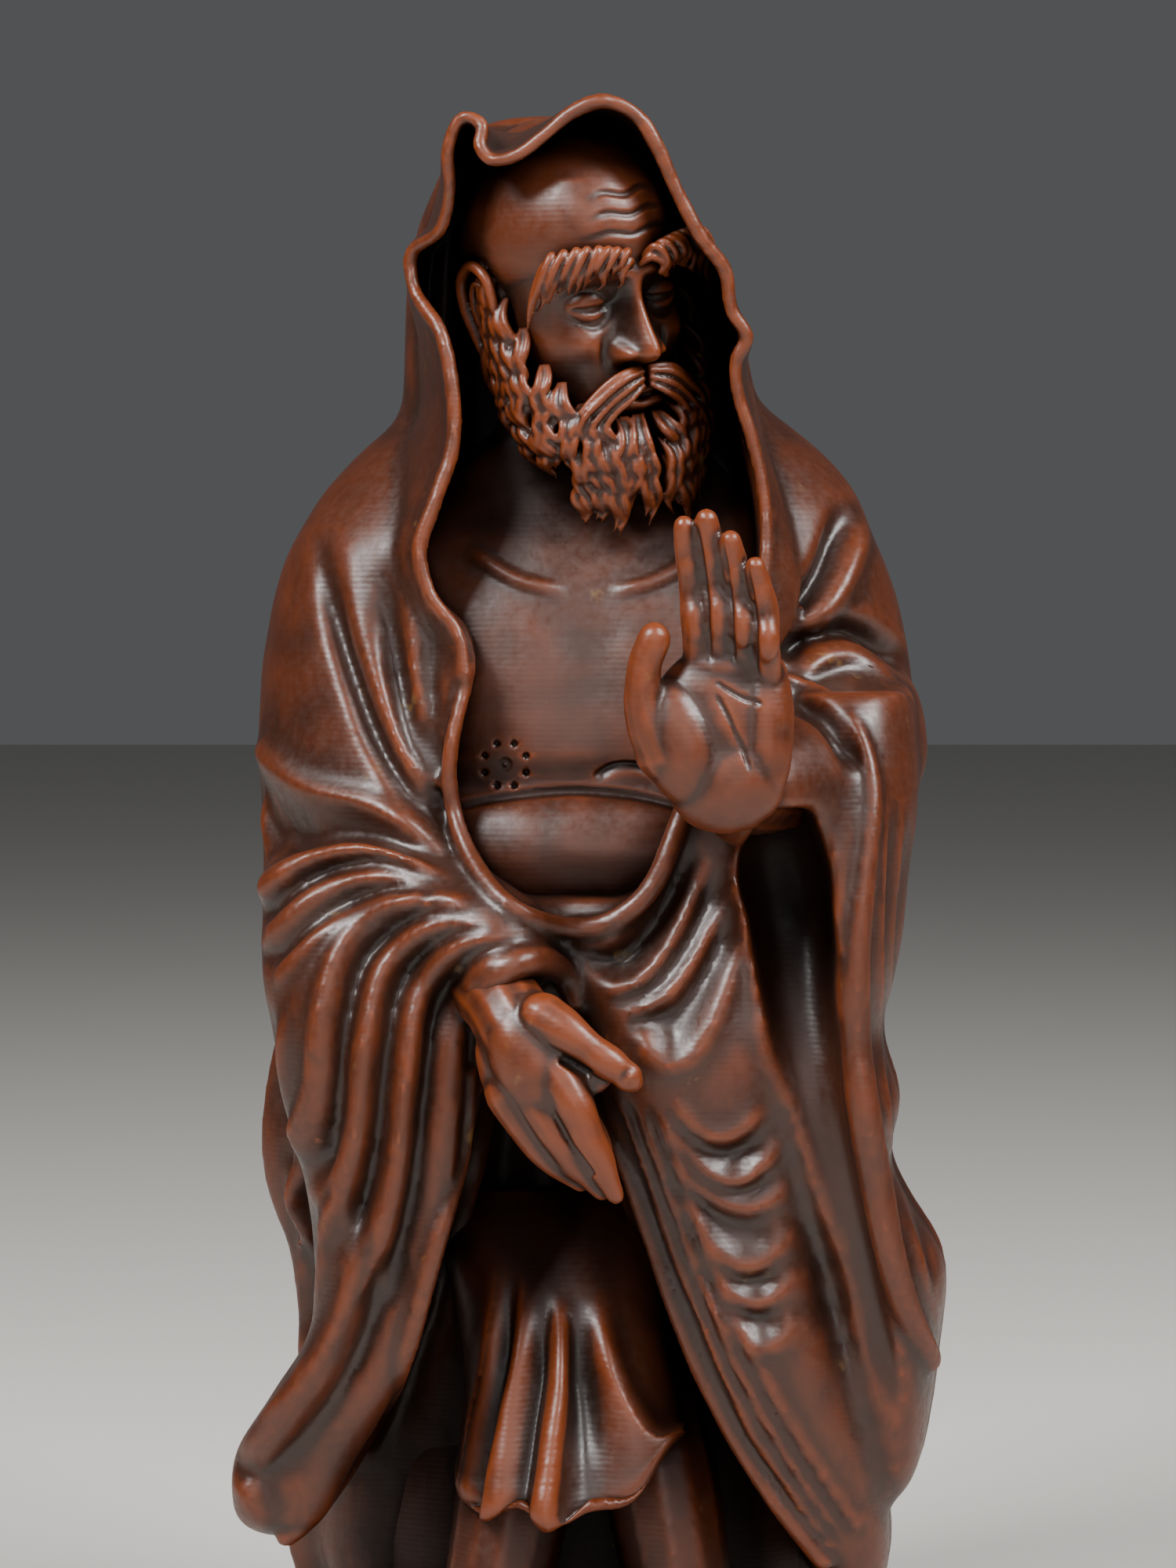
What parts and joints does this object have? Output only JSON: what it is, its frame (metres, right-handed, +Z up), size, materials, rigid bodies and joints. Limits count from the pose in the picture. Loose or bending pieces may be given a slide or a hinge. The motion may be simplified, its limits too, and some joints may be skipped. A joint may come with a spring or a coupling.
{
  "type": "carved boxwood figure of a hooded monk",
  "caption": "Standing bearded monk in a hooded robe, one hand raised, carved with its low rock base from one block of boxwood.",
  "frame": {"origin": "middle of the flat underside of the rock base", "axes": "+Z up through the figure, -Y the way the chest faces, +X to the right of someone who faces it"},
  "size_m": [0.093, 0.0869, 0.213],
  "materials": {
    "boxwood": "waxed, aged red-brown, satin"
  },
  "bodies": {
    "root": {"bodhidharma_statue": "boxwood"}
  },
  "joints": []
}
